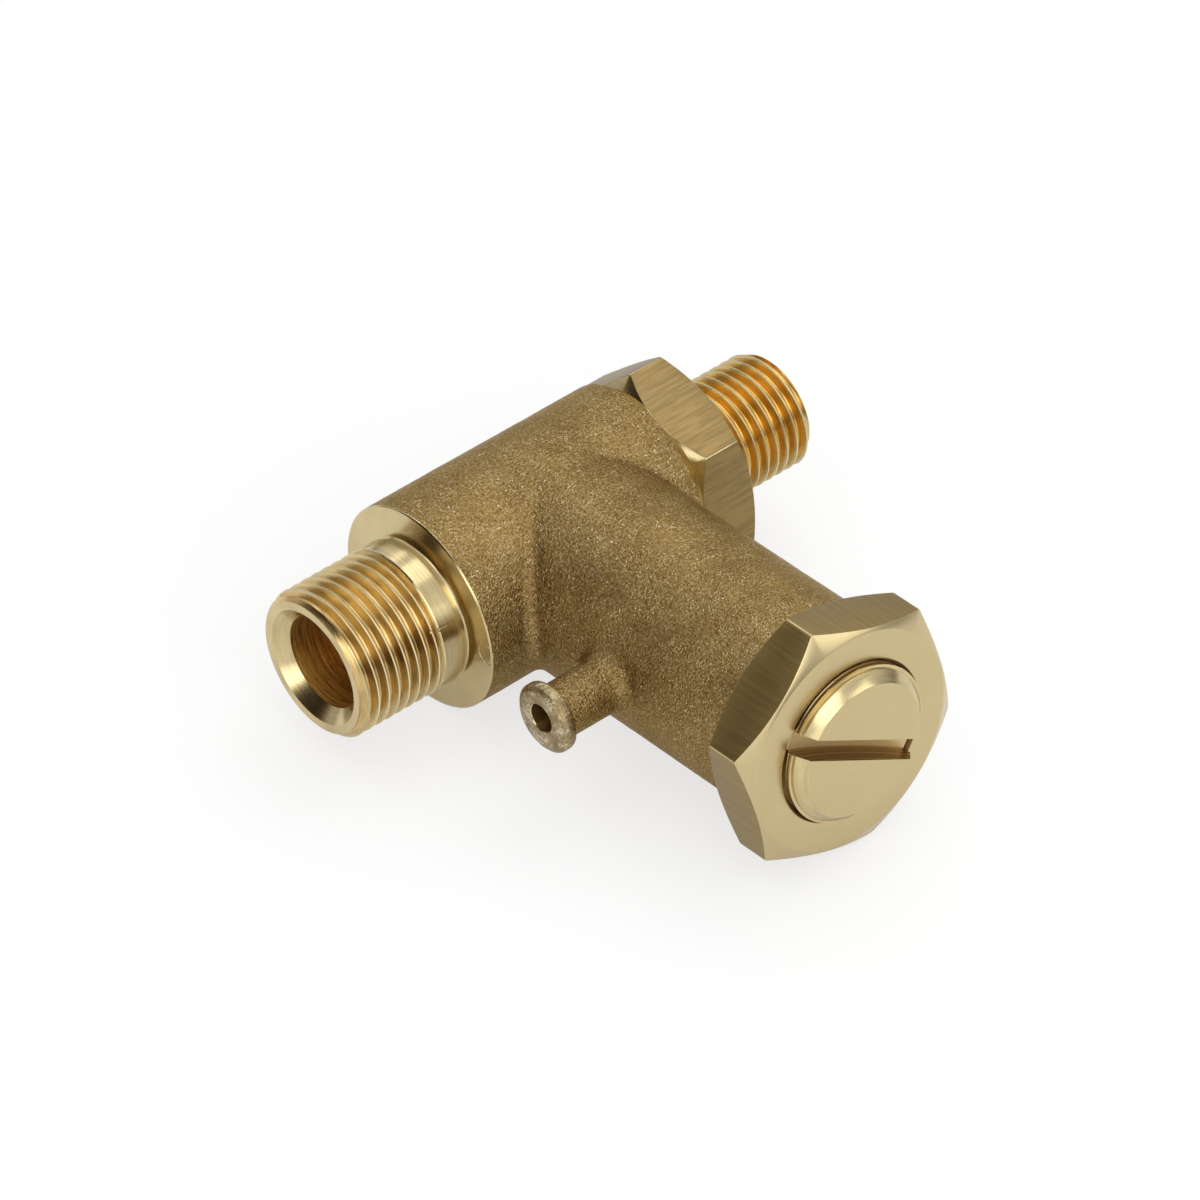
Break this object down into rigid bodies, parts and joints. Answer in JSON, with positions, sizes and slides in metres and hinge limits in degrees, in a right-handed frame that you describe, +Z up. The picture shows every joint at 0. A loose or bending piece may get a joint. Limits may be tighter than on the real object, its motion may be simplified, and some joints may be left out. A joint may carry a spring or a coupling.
{
  "type": "non-return valve",
  "caption": "Brass non-return valve with threaded inlet and outlet, a relief branch with a slotted adjusting screw and lock nut, and a small drain spigot.",
  "frame": {"origin": "on the run's axis, in the plane of the machined inlet shoulder", "axes": "+X along the run towards the outlet, -Y along the relief branch towards the adjusting screw, +Z up"},
  "size_m": [0.0629, 0.0615, 0.0292],
  "materials": {
    "forged_brass": "sand-blasted forging",
    "turned_brass": "fine turned and milled",
    "spring_steel": "drawn wire",
    "rubber": "matt",
    "fibre": "pressed fibre"
  },
  "bodies": {
    "valve_body": {"body": "forged_brass", "outlet_nipple": "turned_brass", "nipple_gasket": "fibre", "lock_nut": "turned_brass"},
    "check": {"check_poppet": "turned_brass", "check_seal": "rubber", "check_spring": "spring_steel"},
    "relief": {"relief_piston": "turned_brass", "relief_seal": "rubber", "relief_spring": "spring_steel"},
    "seat": {"spring_seat": "turned_brass"},
    "screw": {"adjusting_screw": "turned_brass", "screw_o_ring": "rubber"}
  },
  "joints": [
    {"name": "check_lift", "type": "slide", "parent": "valve_body", "child": "check", "axis": [1, 0, 0], "range_m": [0, 0.0028], "stiffness_N_per_m": 300, "springref_m": -0.004, "deforming": ["check_spring"]},
    {"name": "relief_lift", "type": "slide", "parent": "valve_body", "child": "relief", "axis": [0, -1, 0], "range_m": [0, 0.0015], "stiffness_N_per_m": 5000, "springref_m": -0.0035, "deforming": ["relief_spring"]},
    {"name": "screw_travel", "type": "slide", "parent": "valve_body", "child": "seat", "axis": [0, 1, 0], "range_m": [-0.0015, 0.0015], "deforming": ["relief_spring"]},
    {"name": "screw_turn", "type": "hinge", "parent": "seat", "child": "screw", "pos_m": [0.01705, -0.045, 0], "axis": [0, 1, 0], "range_deg": [-540, 540]}
  ],
  "couplings": [
    {"joint": "screw_turn", "follows": "screw_travel", "rad_per_m": 6283.2}
  ]
}
